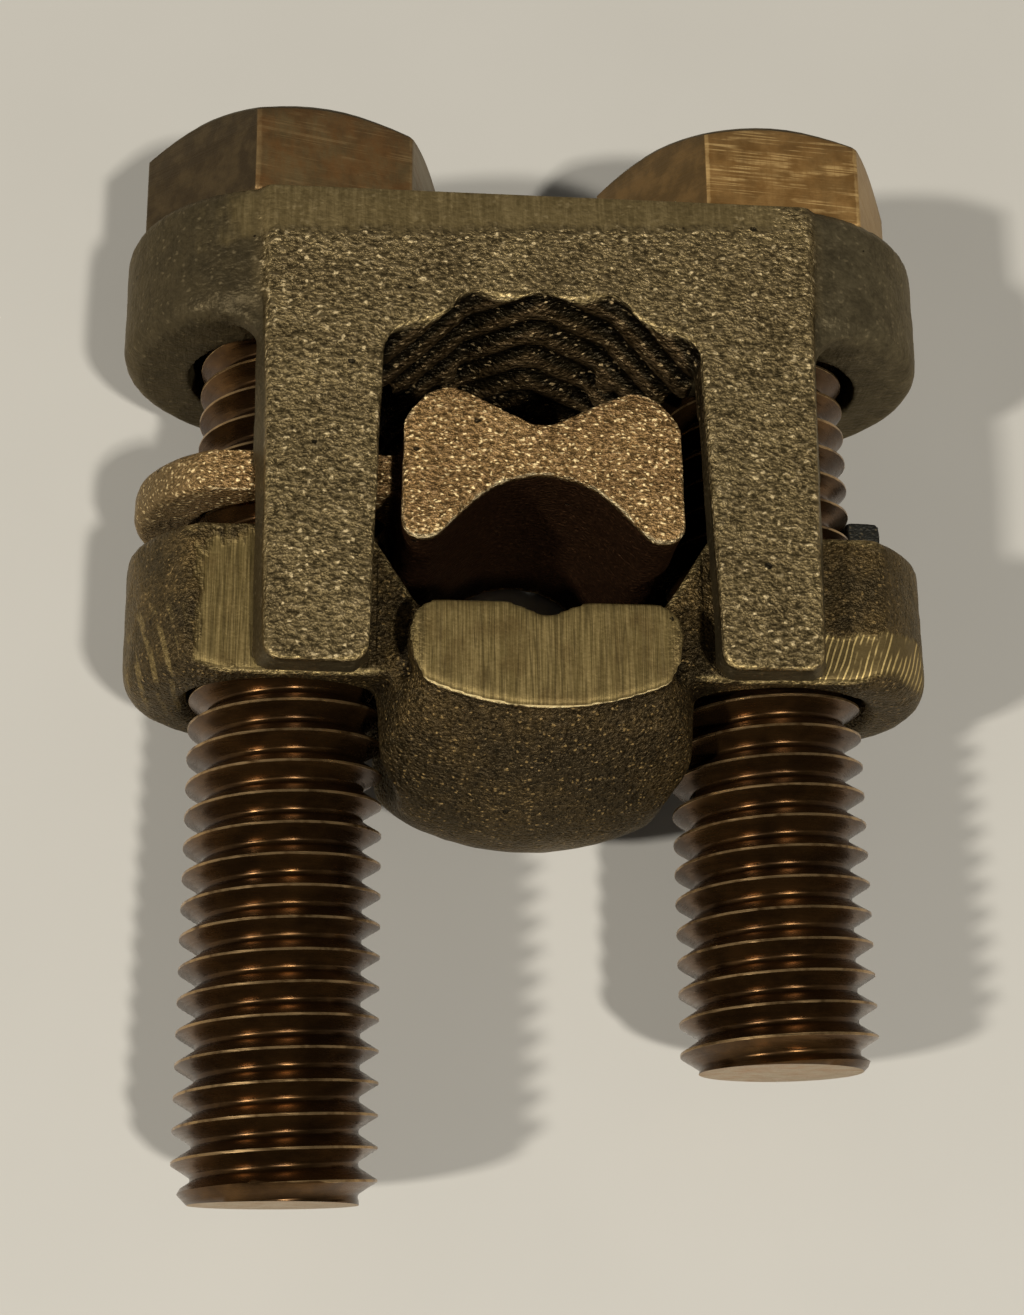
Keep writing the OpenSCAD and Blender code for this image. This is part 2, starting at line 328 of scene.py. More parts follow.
def make_tarnish():
    """Colour of old bronze: dark skin patches, grime in the hollows, and worn edges and rims that are
    partly painted highlight.
    """
    inputs = {"Clean": srgb(126, 112, 86), "Skin": srgb(95, 82, 55), "Grime": srgb(40, 32, 20),
              "Rubbed": srgb(190, 165, 110), "Patch Size": 4.0, "Rub": 0.5, "Low Edges Only": 0.0,
              "Rim": 0.0}
    tree, given, result = new_group("tarnish", inputs, {"Colour": tuple})
    place = place_in_mm(tree)
    turn = edge_turn(tree)
    drift = cloud(tree, place, 1.1, 3.0, 0.65)
    patch_place = scaled(tree, place, calc(tree, "DIVIDE", 4.0, given["Patch Size"]))
    patch = rise(tree, cloud(tree, patch_place, 4.0, 5.0, 0.62), 0.34, 0.68)
    base = blend_colours(tree, patch, given["Skin"], given["Clean"])
    hollow = fall(tree, calc(tree, "ADD", turn, times(tree, drift, 0.16)), 0.3, 0.52)
    darkened = blend_colours(tree, times(tree, hollow, 0.85), base, given["Grime"])
    edge = rise(tree, calc(tree, "ADD", turn, times(tree, drift, 0.5)), 0.96, 1.16)
    rim_wear_and_highlight = times(tree, given["Rim"], rise(tree, drift, 0.36, 0.52))
    # With Low Edges Only, the bright edges and rims keep to the faces turned towards the lamps, as painted
    # highlight besides wear
    kept_dull = times(tree, rise(tree, facing(tree)[1], -0.6, -0.15), given["Low Edges Only"])
    lamp_side_rub = times(tree, given["Rub"], rest_of(tree, kept_dull))
    rub_and_highlight = times(tree, larger(tree, edge, rim_wear_and_highlight), lamp_side_rub)
    tree.links.new(blend_colours(tree, rub_and_highlight, darkened, given["Rubbed"]), result["Colour"])
    return tree


def make_tool_marks():
    """Fine lines left by a file or a lathe, long along one axis and thin across it, and crisp scratches."""
    inputs = {"Stretch": Vector((1, 12, 1)), "Width": 0.16}
    outputs = {"Height": float, "Line": float, "Scratch": float}
    tree, given, result = new_group("tool_marks", inputs, outputs)
    squeeze = vector_calc(tree, "DIVIDE", place_in_mm(tree), given["Stretch"])
    scale = calc(tree, "DIVIDE", 1.0, given["Width"])
    fine = noise_at(tree, squeeze, scale, 2.0, 0.7)[0]
    wide = noise_at(tree, squeeze, times(tree, scale, 0.3), 1.0)[0]
    lines = calc(tree, "ADD", times(tree, fine, 0.65), times(tree, wide, 0.35))
    sparse = noise_at(tree, squeeze, times(tree, scale, 0.5), 0.0)[0]
    off_line = calc(tree, "ABSOLUTE", calc(tree, "SUBTRACT", sparse, 0.5))
    tree.links.new(lines, result["Height"])
    tree.links.new(rise(tree, lines, 0.42, 0.62), result["Line"])
    tree.links.new(fall(tree, off_line, 0.02, 0.09), result["Scratch"])
    return tree


def make_ground_patch():
    """A place that a grinder has touched: a soft box round a centre, with a ragged edge.

    Lean is how far the box rises along Y for each millimetre along X.
    """
    inputs = {"Centre": Vector((0, 0, 0)), "Half Size": Vector((5, 5, 5)), "Ragged": 0.5, "Lean": 0.0}
    tree, given, result = new_group("ground_patch", inputs, {"Mask": float})
    place = place_in_mm(tree)
    offset = vector_calc(tree, "SUBTRACT", place, given["Centre"])
    climb = times(tree, parts_of(tree, offset)[0], given["Lean"])
    level = vector_calc(tree, "SUBTRACT", offset, add_node(tree, "CombineXYZ", {1: climb}).outputs[0])
    share = vector_calc(tree, "DIVIDE", level, given["Half Size"])
    size = parts_of(tree, add_node(tree, "VectorMath", {0: share}, operation="ABSOLUTE").outputs[0])
    reach = larger(tree, larger(tree, size[0], size[1]), size[2])
    frayed = cloud(tree, place, 1.2, 3.0, 0.6, (1, 3, 1))
    fringe = times(tree, calc(tree, "SUBTRACT", frayed, 0.5), given["Ragged"])
    tree.links.new(fall(tree, calc(tree, "ADD", reach, fringe), 0.78, 1.08), result["Mask"])
    return tree


def make_sand_face():
    """Where a casting is rough from the sand: its front and back faces, and the channel between them.

    Rim is the line where a face turns over into the sides.
    """
    inputs = {"Half Depth": 12.0, "Half Channel": 10.2}
    outputs = {"Face": float, "Channel": float, "Rim": float}
    tree, given, result = new_group("sand_face", inputs, outputs)
    place = parts_of(tree, place_in_mm(tree))
    depth = calc(tree, "ABSOLUTE", calc(tree, "SUBTRACT", place[2], FRONT_Z / MM / 2))
    gap = calc(tree, "SUBTRACT", calc(tree, "SUBTRACT", given["Half Depth"], CAST_SHRINK), depth)
    face = fall(tree, gap, 0.35, 0.8)
    past = calc(tree, "SUBTRACT", calc(tree, "ABSOLUTE", place[0]), given["Half Channel"])
    between = fall(tree, past, 0.0, 0.4)
    tree.links.new(face, result["Face"])
    tree.links.new(times(tree, between, rest_of(tree, face)), result["Channel"])
    tree.links.new(times(tree, rise(tree, gap, 0.05, 0.12), fall(tree, gap, 0.26, 0.36)), result["Rim"])
    return tree


CAST_GRAIN = make_cast_grain()
SAND_FACE = make_sand_face()
TARNISH = make_tarnish()
TOOL_MARKS = make_tool_marks()
GROUND_PATCH = make_ground_patch()


# The weak warm shine of the oxide skin on the bronze
BRONZE_SHEEN = {"Specular IOR Level": 0.3, "Specular Tint": srgb(238, 218, 180)}

# How metallic each finish is
CAST_METAL = 0.5
# Painted glints on the cast grain are less metallic
GLINT_METAL = 0.15
THREAD_METAL = 0.9
HEAD_METAL = 0.4
END_METAL = 0.5

# How far a wave texture turns in one unit of place
WAVE_RADIANS = 20


# Finishes of the castings

def set_cast_skin(tree, shader, grain, coarse, colour, glint_colour):
    """Colour, gloss and metal of a casting: pits, and where coarse, painted shade, highlights and glints.
    """
    mottle = calc(tree, "ADD", times(tree, coarse, 0.8), 0.2)
    shade = add_node(tree, "HueSaturation", {"Saturation": 1.1, "Value": 0.2, "Color": colour}).outputs[0]
    shine = add_node(tree, "HueSaturation", {"Saturation": 0.9, "Value": 2.0, "Color": colour}).outputs[0]
    # Painted shade in the valleys of the grain and painted highlight on its tops
    low = blend_colours(tree, times(tree, grain["Valley"], times(tree, mottle, 0.8)), colour, shade)
    high = blend_colours(tree, times(tree, grain["Top"], times(tree, mottle, 0.5)), low, shine)
    # Painted glints: bright dots of the glint colour, less metallic so that they stay bright
    glint = times(tree, grain["Glint"], coarse)
    glinted = blend_colours(tree, glint, high, glint_colour)
    pitted = blend_colours(tree, times(tree, grain["Pit"], 0.9), glinted, srgb(18, 15, 9))
    tree.links.new(pitted, shader["Base Color"])
    tree.links.new(rise(tree, coarse, 0.0, 1.0, 0.5, 0.38), shader["Roughness"])
    tree.links.new(rise(tree, glint, 0.0, 1.0, CAST_METAL, GLINT_METAL), shader["Metallic"])


def set_relief(tree, shader, grain, coarse, lines, depth):
    """Bump of a casting: its grain and pits where it is coarse, fine lines where it is ground."""
    pitted = calc(tree, "SUBTRACT", grain["Height"], grain["Pit"])
    cast = times(tree, pitted, calc(tree, "ADD", times(tree, coarse, 0.94), 0.06))
    scored = times(tree, times(tree, lines, rest_of(tree, coarse)), 0.12)
    set_bump(tree, shader, calc(tree, "ADD", cast, scored), 1.0, depth)


def cap_sides(tree):
    """The cap's smooth sides, stained by handling and paler towards the shorter bolt."""
    place = place_in_mm(tree)
    across = parts_of(tree, place)[0]
    side = blend_colours(tree, rise(tree, across, 12.0, 20.0), srgb(70, 60, 40), srgb(87, 77, 55))
    handled = rise(tree, cloud(tree, place, 1.6, 5.0, 0.68), 0.38, 0.66, 0.0, 0.6)
    return blend_colours(tree, handled, side, srgb(50, 43, 29))


def roof_soot_and_shade(tree):
    """The cap's channel, partly soot and partly painted shade: black between the teeth of its roof, brown
    on their crests.
    """
    return blend_colours(tree, rise(tree, edge_turn(tree), 0.46, 0.66), srgb(15, 11, 6), srgb(82, 64, 40))


def cast_bronze():
    """Dull sand-cast bronze of the cap, with a smoother ground band along its top."""
    material, tree, shader = new_material("cast_bronze", CAST_METAL, BRONZE_SHEEN)
    grain = use_group(tree, CAST_GRAIN, Size=0.3, Length=1.4, Glints=0.3)
    sand = use_group(tree, SAND_FACE)
    skin = use_group(tree, TARNISH, Clean=srgb(118, 101, 67), Skin=srgb(98, 83, 54), Grime=srgb(28, 23, 14),
                     Rubbed=srgb(214, 186, 126), Rub=0.8, Low_Edges_Only=0.8,
                     Rim=times(tree, sand["Rim"], 0.5))["Colour"]
    band = use_group(tree, GROUND_PATCH, Centre=Vector((-2.5, 28.2, 24)), Half_Size=Vector((19, 3.2, 2.2)),
                     Ragged=0.6, Lean=0.06)["Mask"]
    rough = calc(tree, "ADD", sand["Face"], sand["Channel"])
    coarse = times(tree, larger(tree, rough, 0.14), rest_of(tree, times(tree, band, 0.85)))
    marks = use_group(tree, TOOL_MARKS, Stretch=Vector((1, 14, 14)), Width=0.2)
    filed = blend_colours(tree, marks["Line"], srgb(106, 90, 56), srgb(128, 110, 72))
    outside = blend_colours(tree, rough, cap_sides(tree), skin)
    # Soot and painted shade darken the cap's channel
    sooty_and_shaded = blend_colours(tree, times(tree, sand["Channel"], 0.9), outside, roof_soot_and_shade(tree))
    metal = blend_colours(tree, times(tree, band, 0.75), sooty_and_shaded, filed)
    glint_colour = blend_colours(tree, sand["Channel"], srgb(190, 168, 124), srgb(176, 150, 106))
    set_cast_skin(tree, shader, grain, coarse, metal, glint_colour)
    set_relief(tree, shader, grain, coarse, marks["Height"], 0.5)
    return material


def file_strokes(tree, spacing, turn):
    """Parallel strokes of a coarse file, spacing millimetres apart and leaning from upright by turn."""
    turned = add_node(tree, "VectorRotate", {"Vector": place_in_mm(tree), "Axis": (0, 0, 1), "Angle": turn},
                      rotation_type="AXIS_ANGLE").outputs[0]
    waves_per_unit = WAVE_RADIANS / math.tau
    wave = add_node(tree, "TexWave", {"Vector": turned, "Scale": 1 / waves_per_unit / spacing,
                                      "Distortion": 2.5, "Detail": 1.0, "Detail Scale": 0.5})
    broken = rise(tree, cloud(tree, turned, 0.7, 2.0, 0.5, (1, 3, 3)), 0.38, 0.52)
    return times(tree, rise(tree, wave.outputs[1], 0.62, 0.88), broken)


def tongue_metal(tree, marks):
    """Ground bronze of the jaw's tongue: fine upright lines, brown stains and dark scratches."""
    fine = blend_colours(tree, marks["Line"], srgb(104, 88, 51), srgb(138, 118, 74))
    browned = rise(tree, cloud(tree, place_in_mm(tree), 1.8, 3.0), 0.45, 0.7, 0.0, 0.5)
    stained = blend_colours(tree, browned, fine, srgb(92, 73, 41))
    return blend_colours(tree, times(tree, marks["Scratch"], 0.4), stained, srgb(52, 42, 23))


def jaw_skin(tree, underside):
    """The jaw's dark brown cast skin: blotched, darker on its undersides, and filed at its left corner."""
    place = place_in_mm(tree)
    near_front = rise(tree, parts_of(tree, place)[2], 18.5, 20.5, 0.0, 0.9)
    skin = use_group(tree, TARNISH, Clean=srgb(90, 72, 41), Skin=srgb(58, 47, 28), Grime=srgb(22, 16, 9),
                     Rubbed=srgb(240, 208, 138), Rub=near_front, Low_Edges_Only=0.8)["Colour"]
    blotch = rise(tree, cloud(tree, place, 0.7, 4.0, 0.7), 0.42, 0.62, 0.0, 0.5)
    blotched = blend_colours(tree, blotch, skin, srgb(46, 38, 24))
    # Darker on the undersides
    darkened = blend_colours(tree, times(tree, underside, 0.5), blotched, srgb(40, 31, 18))
    corner = use_group(tree, GROUND_PATCH, Centre=Vector((-24.2, -1.8, 18)),
                       Half_Size=Vector((2.0, 2.5, 7)), Ragged=0.8)["Mask"]
    strokes = file_strokes(tree, 0.9, math.radians(-18))
    return blend_colours(tree, times(tree, strokes, corner), darkened, srgb(112, 94, 57))


def tongue_rim_highlight(tree, underside):
    """Painted highlight along the lower edge of the jaw's tongue, broken here and there."""
    broken = rise(tree, cloud(tree, place_in_mm(tree), 0.9, 2.0), 0.36, 0.5)
    return times(tree, use_group(tree, SAND_FACE)["Rim"], times(tree, underside, broken))


def jaw_bronze():
    """The jaw's cast bronze: dark brown skin, bright ground faces on tongue and ears, a painted highlight
    on the tongue's rim.
    """
    material, tree, shader = new_material("jaw_bronze", CAST_METAL, BRONZE_SHEEN)
    grain = use_group(tree, CAST_GRAIN, Size=0.22, Length=1.2, Glints=0.34)
    tongue = use_group(tree, GROUND_PATCH, Centre=Vector((0, -3.2, 24)), Half_Size=Vector((9, 4.4, 0.3)),
                       Ragged=0.1)["Mask"]
    left = use_group(tree, GROUND_PATCH, Centre=Vector((-19.2, 0.6, 21)), Half_Size=Vector((2.2, 5.2, 3)),
                     Ragged=1.2, Lean=0.1)["Mask"]
    right = use_group(tree, GROUND_PATCH, Centre=Vector((20.5, -2.4, 20)), Half_Size=Vector((5.2, 1.7, 5)),
                      Ragged=0.7, Lean=0.12)["Mask"]
    underside = fall(tree, facing(tree)[1], -0.75, -0.35)
    ears = times(tree, larger(tree, left, right), rest_of(tree, underside))
    ground = larger(tree, tongue, ears)
    belly = use_group(tree, SAND_FACE, Half_Depth=14.0)["Channel"]
    grainy = larger(tree, larger(tree, belly, underside), 0.7)
    coarse = times(tree, grainy, rest_of(tree, ground))
    marks = use_group(tree, TOOL_MARKS, Stretch=Vector((1, 40, 40)), Width=0.09)
    strokes = file_strokes(tree, 0.36, math.radians(20))
    gold = blend_colours(tree, strokes, srgb(98, 82, 50), srgb(206, 178, 114))
    filed = blend_colours(tree, right, tongue_metal(tree, marks), gold)
    metal = blend_colours(tree, ground, jaw_skin(tree, underside), filed)
    # Painted highlight on the lower rim of the tongue
    rim_lit = blend_colours(tree, tongue_rim_highlight(tree, underside), metal, srgb(250, 222, 160))
    set_cast_skin(tree, shader, grain, coarse, rim_lit, srgb(132, 107, 64))
    lines = add_node(tree, "Mix", {0: right, 2: marks["Height"], 3: strokes}).outputs[0]
    set_relief(tree, shader, grain, coarse, lines, 0.42)
    return material


def spacer_bronze():
    """Bright copper-coloured spacer casting: sparkling grain, two darker lug ends, the right one black as
    painted shadow.
    """
    material, tree, shader = new_material("spacer_bronze", CAST_METAL, BRONZE_SHEEN)
    grain = use_group(tree, CAST_GRAIN, Size=0.21, Length=1.5, Glints=0.66)
    sand = use_group(tree, SAND_FACE, Half_Depth=11.2, Half_Channel=9.2)
    skin = use_group(tree, TARNISH, Clean=srgb(152, 119, 74), Skin=srgb(128, 98, 60),
                     Grime=srgb(40, 25, 14), Rubbed=srgb(252, 226, 172), Rub=0.95, Low_Edges_Only=0.8,
                     Rim=sand["Rim"])["Colour"]
    across = parts_of(tree, place_in_mm(tree))[0]
    # Painted shadow: the right lug end is near black
    shadowed_end = rise(tree, across, 20.0, 21.5)
    dull_end = fall(tree, across, -25.0, -18.5)
    dulled = blend_colours(tree, times(tree, dull_end, 0.8), skin, srgb(98, 81, 52))
    end_shadowed = blend_colours(tree, shadowed_end, dulled, srgb(50, 50, 46))
    # Painted shade: the spacer's channel under the arch is dark brown
    metal = blend_colours(tree, sand["Channel"], end_shadowed, srgb(54, 34, 20))
    dark_ends = larger(tree, times(tree, shadowed_end, 0.9), times(tree, dull_end, 0.55))
    kept_dull = times(tree, sand["Channel"], 0.5)
    coarse = times(tree, rest_of(tree, dark_ends), rest_of(tree, kept_dull))
    # Glints in the channel are painted dim, as in shade
    glint_colour = blend_colours(tree, sand["Channel"], srgb(255, 224, 162), srgb(92, 62, 38))
    set_cast_skin(tree, shader, grain, coarse, metal, glint_colour)
    set_relief(tree, shader, grain, coarse, grain["Height"], 0.42)
    return material


# Finishes of the bolts

def thread_bronze():
    """Dark brown of the rolled threads, bright along the crests with wear and painted highlight."""
    material, tree, shader = new_material("thread_bronze", THREAD_METAL, {})
    # The bright crests are partly wear and partly painted highlight
    skin = use_group(tree, TARNISH, Clean=srgb(100, 71, 38), Skin=srgb(70, 49, 26), Grime=srgb(44, 29, 14),
                     Rubbed=srgb(190, 156, 108), Patch_Size=3.5, Rub=0.75)
    marks = use_group(tree, TOOL_MARKS, Stretch=Vector((14, 1, 14)), Width=0.14)
    tree.links.new(skin["Colour"], shader["Base Color"])
    tree.links.new(rise(tree, marks["Height"], 0.2, 0.8, 0.2, 0.36), shader["Roughness"])
    set_bump(tree, shader, marks["Height"], 0.3, 0.06)
    return material


def scratched_front(tree, metal, lines, bright, stain, scratches):
    """The front of a head: metal with broken bright scratches along it and faint dark ones across."""
    across = use_group(tree, TOOL_MARKS, Stretch=Vector((1, 12, 1)), Width=0.22)["Scratch"]
    patchy = cloud(tree, place_in_mm(tree), 1.0, 3.0, 0.6, (3, 1, 3))
    broken = rise(tree, patchy, 0.44, 0.64, 0.0, scratches)
    scored = blend_colours(tree, times(tree, lines, broken), metal, bright)
    return blend_colours(tree, times(tree, across, 0.2), scored, stain)


def head_bronze(name, clean, stain, side, floor_reflection, bright, scratches):
    """Machined head of a bolt: a scratched, stained front, a side browner with painted shade, one with a
    painted reflection, a dark top.
    """
    material, tree, shader = new_material(name, HEAD_METAL, BRONZE_SHEEN)
    skin = use_group(tree, TARNISH, Clean=clean, Skin=stain, Grime=srgb(40, 30, 18), Rubbed=bright,
                     Patch_Size=2.2, Rub=0.5)["Colour"]
    marks = use_group(tree, TOOL_MARKS, Stretch=Vector((60, 1, 60)), Width=0.14)
    grain = use_group(tree, CAST_GRAIN, Size=0.3, Length=1.2)
    blotch = rise(tree, cloud(tree, place_in_mm(tree), 1.6, 4.0, 0.6), 0.36, 0.68)
    mottled = blend_colours(tree, times(tree, blotch, 0.4), skin, side)
    front = scratched_front(tree, mottled, marks["Scratch"], bright, stain, scratches)
    left = blend_colours(tree, times(tree, blotch, 0.3), side, clean)
    right = blend_colours(tree, times(tree, blotch, 0.45), floor_reflection, skin)
    top = blend_colours(tree, times(tree, blotch, 0.5), srgb(44, 38, 25), side)
    faces = facing(tree)
    # Painted shade: the faces turned left take the darker side colour
    from_left = blend_colours(tree, fall(tree, faces[0], -0.6, -0.35), front, left)
    # Painted reflection: the faces turned right take the pale floor_reflection colour
    round_sides = blend_colours(tree, rise(tree, faces[0], 0.55, 0.8), from_left, right)
    metal = blend_colours(tree, rise(tree, faces[1], 0.25, 0.5), round_sides, top)
    tree.links.new(blend_colours(tree, grain["Pit"], metal, srgb(26, 20, 12)), shader["Base Color"])
    tree.links.new(rise(tree, marks["Height"], 0.2, 0.8, 0.36, 0.54), shader["Roughness"])
    height = calc(tree, "ADD", times(tree, marks["Height"], 0.6), times(tree, grain["Height"], 0.3))
    set_bump(tree, shader, height, 0.5, 0.14)
    return material


def end_bronze():
    """Sawn and sheared end of a bolt: pale, with a faint pink."""
    material, tree, shader = new_material("end_bronze", END_METAL, BRONZE_SHEEN)
    place = place_in_mm(tree)
    patch = rise(tree, cloud(tree, place, 1.6, 4.0, 0.6), 0.3, 0.7)
    torn = cloud(tree, place, 0.5, 4.0, 0.7, (2, 1, 1))
    colour = blend_colours(tree, patch, srgb(160, 132, 106), srgb(166, 152, 132))
    tree.links.new(colour, shader["Base Color"])
    tree.links.new(rise(tree, torn, 0.2, 0.8, 0.25, 0.55), shader["Roughness"])
    set_bump(tree, shader, torn, 0.8, 0.3)
    return material


# Meshes

def link_piece(name, mesh, materials):
    """A new object for a mesh that is already in the row frame."""
    piece = bpy.data.objects.new(name, mesh)
    bpy.context.scene.collection.objects.link(piece)
    for material in materials:
        mesh.materials.append(material)
    return piece


def mesh_points(mesh):
    """The places of a mesh's points as rows."""
    points = np.zeros(len(mesh.vertices) * 3)
    mesh.vertices.foreach_get("co", points)
    return points.reshape(-1, 3)


def move_points(mesh, points):
    """Puts a mesh's points in new places."""
    mesh.vertices.foreach_set("co", points.ravel())
    mesh.update()


def point_normals(mesh):
    """The normals of a mesh's points as rows."""
    normals = np.zeros(len(mesh.vertices) * 3)
    mesh.vertex_normals.foreach_get("vector", normals)
    return normals.reshape(-1, 3)


def neighbour_mean(mesh, values, rounds):
    """Values of the points, each time averaged over the points next to them."""
    ends = np.zeros(len(mesh.edges) * 2, np.int64)
    mesh.edges.foreach_get("vertices", ends)
    first, second = ends[0::2], ends[1::2]
    count = np.bincount(ends, minlength=len(mesh.vertices)).astype(float)
    for _ in range(rounds):
        summed = np.zeros_like(values)
        np.add.at(summed, first, values[second])
        np.add.at(summed, second, values[first])
        values = (summed.T / count).T
    return values


def store_edge_turn(mesh, values):
    """Keeps the edge_turn values on the mesh for its material."""
    layer = mesh.attributes.new("edge_turn", "FLOAT", "POINT")
    layer.data.foreach_set("value", np.asarray(values, np.float32))


def note_edge_turn(mesh):
    """Writes edge_turn on each point: 0.5 on a flat, towards 1 on an outer edge and 0 in a hollow."""
    points = mesh_points(mesh)
    lifted = points - neighbour_mean(mesh, points, EDGE_REACH)
    turn = np.einsum("ij,ij->i", lifted, point_normals(mesh)) / MM
    turn = neighbour_mean(mesh, turn, EDGE_BLUR)
    store_edge_turn(mesh, np.clip(0.5 + EDGE_GAIN * turn, 0, 1))


def cast_lumps(points):
    """How far a sand mould's unevenness moves each point, in metres."""
    moved = []
    for point in points:
        place = Vector(point) / MM
        moved.append(sum(depth * noise.noise(place / size) for size, depth in zip(LUMP_SIZES, LUMP_DEPTHS)))
    return np.array(moved) * MM


def melt(mesh, points, melted):
    """Points drawn to the middle of the points next to them, as far as melted(points) says."""
    share = melted(points / MM)[:, None]
    if share.any():
        for _ in range(MELT_ROUNDS):
            points = points + share * (neighbour_mean(mesh, points, 1) - points)
    return points


def mould_skin(node_name, voxel, rounds, material):
    """A CAD casting as a skin of small even faces, with its edges rounded as a mould rounds them."""
    shape = bmesh.new()
    shape.from_mesh(frame["nodes"][node_name].data)
    bmesh.ops.remove_doubles(shape, verts=shape.verts, dist=WELD_DISTANCE * MM)
    mesh = bpy.data.meshes.new(node_name + "_casting")
    shape.to_mesh(mesh)
    shape.free()
    piece = link_piece(node_name + "_casting", mesh, [material])
    skin = piece.modifiers.new("skin", "REMESH")
    skin.mode = "VOXEL"
    skin.voxel_size = voxel * MM
    soften = piece.modifiers.new("soften", "SMOOTH")
    soften.factor = SOFTEN_SHARE
    soften.iterations = rounds
    seen = piece.evaluated_get(bpy.context.evaluated_depsgraph_get())
    mesh = bpy.data.meshes.new_from_object(seen)
    piece.modifiers.clear()
    piece.data = mesh
    mesh.materials.clear()
    mesh.materials.append(material)
    return piece


def casting(node_name, voxel, rounds, ground, melted, material, body):
    """A CAD casting with rounded edges and an uneven skin.

    The skin stays true where ground(points) is 1, and is rounder still where melted(points) is 1.
    """
    piece = mould_skin(node_name, voxel, rounds, material)
    mesh = piece.data
    points = melt(mesh, mesh_points(mesh), melted)
    move_points(mesh, points)
    note_edge_turn(mesh)
    step = (cast_lumps(points) - CAST_SHRINK * MM) * (1 - ground(points / MM))
    points = points + point_normals(mesh) * step[:, None]
    mesh.polygons.foreach_set("use_smooth", np.ones(len(mesh.polygons), bool))
    move_points(mesh, points)
    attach(piece, body)
    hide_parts(node_name)
    return piece


def cap_ground(points):
    """Where the cap is flat and true: the back that it rests on and its top under the heads."""
    back = points[:, 2] < BACK_MARGIN
    top = points[:, 1] > BEARING_Y / MM - CAP_TOP_MARGIN
    return np.where(back | top, 1.0, 0.0)


def jaw_ground(points):
    """Where the jaw is ground flat: its tongue's front face, and the back that it rests on."""
    face = points[:, 2] > FRONT_Z / MM - TONGUE_MARGIN
    back = points[:, 2] < BACK_MARGIN
    return np.where(face | back, 1.0, 0.0)


def jaw_melted(points):
    """Where the jaw's mould was soft: its belly, between the edges of the two ends of the tongue."""
    ears_bottom = -4.8
    fade = 1.2
    tongue_edge = 1.0
    below_ears = np.clip((ears_bottom - points[:, 1]) / fade, 0, 1)
    from_front = np.clip(FRONT_Z / MM - tongue_edge - points[:, 2], 0, 1)
    from_back = np.clip(points[:, 2] - tongue_edge, 0, 1)
    return below_ears * from_front * from_back


def nowhere(points):
    """No point at all: for a casting with no such place."""
    return np.zeros(len(points))


# Bolts, drawn upright: z along the bolt with 0 at the bearing face, then laid in the row frame

def thread_columns(shape, length, crest):
    """Points of a right-hand thread: a column for each step round, with one turn's profile in it."""
    turns = math.ceil(length / THREAD_PITCH) + SPARE_TURNS
    front = 0.75
    crest_middle = 0.0625
    start = crest + (crest_middle - front) * THREAD_PITCH
    lowest = math.ceil((start + length) / THREAD_PITCH + 1)
    columns = []
    for step in range(turns * THREAD_SEGMENTS + 1):
        angle = math.tau * step / THREAD_SEGMENTS
        base = start + THREAD_PITCH * (step / THREAD_SEGMENTS - lowest)
        column = []
        for share, depth in THREAD_PROFILE:
            height = base - share * THREAD_PITCH
            radius = THREAD_RADIUS - depth * THREAD_DEPTH
            radius = max(min(radius, END_RADIUS + (height + length)), CORE_RADIUS)
            column.append(shape.verts.new((radius * math.cos(angle), radius * math.sin(angle), height)))
        columns.append(column)
    return columns


def thread_shell(shape, length, crest):
    """A right-hand thread down to the bolt's end, cut flat at both ends, with a crest in front at crest.

    A row of the grid climbs one pitch for each time round, so it ends where the row above it starts.
    """
    columns = thread_columns(shape, length, crest)
    for step in range(THREAD_SEGMENTS, len(columns) - 1):
        here, ahead = columns[step], columns[step + 1]
        below, below_ahead = columns[step - THREAD_SEGMENTS], columns[step + 1 - THREAD_SEGMENTS]
        for row in range(len(THREAD_PROFILE) - 1):
            shape.faces.new((here[row], here[row + 1], ahead[row + 1], ahead[row]))
        shape.faces.new((here[-1], below[0], below_ahead[0], ahead[-1]))
    for height, side in ((-NECK_LENGTH, 1), (-length, -1)):
        parts = shape.verts[:] + shape.edges[:] + shape.faces[:]
        bmesh.ops.bisect_plane(shape, geom=parts, plane_co=(0, 0, height), plane_no=(0, 0, side),
                               clear_outer=True)
    loose = [vert for vert in shape.verts if not vert.link_faces]
    bmesh.ops.delete(shape, geom=loose, context="VERTS")


def rim_at(shape, height):
    """The open edges of a shell at a height."""
    rim = []
    for edge in shape.edges:
        if edge.is_boundary and all(abs(vert.co.z - height) < SAME_HEIGHT for vert in edge.verts):
            rim.append(edge)
    return rim


def hexagon(across_flats, corner, turn, per_side=9, per_corner=4):
    """Outline of a hexagon with rounded corners, and a corner at the angle turn."""
    inner = across_flats / 2 - corner
    reach = inner / math.cos(math.pi / 6)
    between = [step / per_side for step in range(1, per_side)]
    shares = [HEAD_EDGE_SHARE, *between, 1 - HEAD_EDGE_SHARE]
    outline = []
    for index in range(6):
        heading = turn + index * math.tau / 6
        middle = Vector((reach * math.cos(heading), reach * math.sin(heading)))
        arc = []
        for step in range(per_corner + 1):
            angle = heading + (step / per_corner - 0.5) * math.tau / 6
            arc.append(middle + corner * Vector((math.cos(angle), math.sin(angle))))
        after = heading + math.tau / 6
        next_middle = Vector((reach * math.cos(after), reach * math.sin(after)))
        angle = after - math.tau / 12
        side_end = next_middle + corner * Vector((math.cos(angle), math.sin(angle)))
        outline += arc
        outline += [arc[-1].lerp(side_end, share) for share in shares]
    return outline


